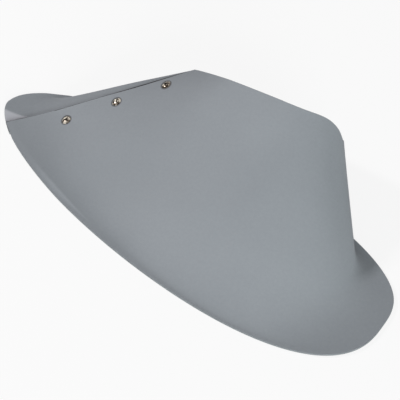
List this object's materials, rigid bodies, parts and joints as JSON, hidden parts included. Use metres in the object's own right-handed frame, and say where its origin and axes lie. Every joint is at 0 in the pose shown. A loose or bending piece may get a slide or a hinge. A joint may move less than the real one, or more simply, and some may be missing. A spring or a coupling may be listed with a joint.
{
  "type": "strut cuff",
  "caption": "Formed plastic fairing that closes the gap where a leaning streamlined strut meets a wing, slit along its trailing edge and closed by screws.",
  "frame": {"origin": "on the wing skin, where the plane through the strut's chord meets it, 18 mm aft of the strut's middle", "axes": "+X forward to the cuff's nose, +Z out of the wing skin, +Y to the side the strut leans over"},
  "size_m": [0.3965, 0.1878, 0.0794],
  "materials": {
    "cuff_plastic": "satin grey formed sheet with a fine grain",
    "screw_steel": "bright stainless steel",
    "clip_steel": "dark phosphated spring steel"
  },
  "bodies": {
    "root": {"cuff_skin": "cuff_plastic", "screw_high": "screw_steel", "screw_middle": "screw_steel", "screw_low": "screw_steel", "clip_nut_high": "clip_steel", "clip_nut_middle": "clip_steel", "clip_nut_low": "clip_steel"}
  },
  "joints": []
}
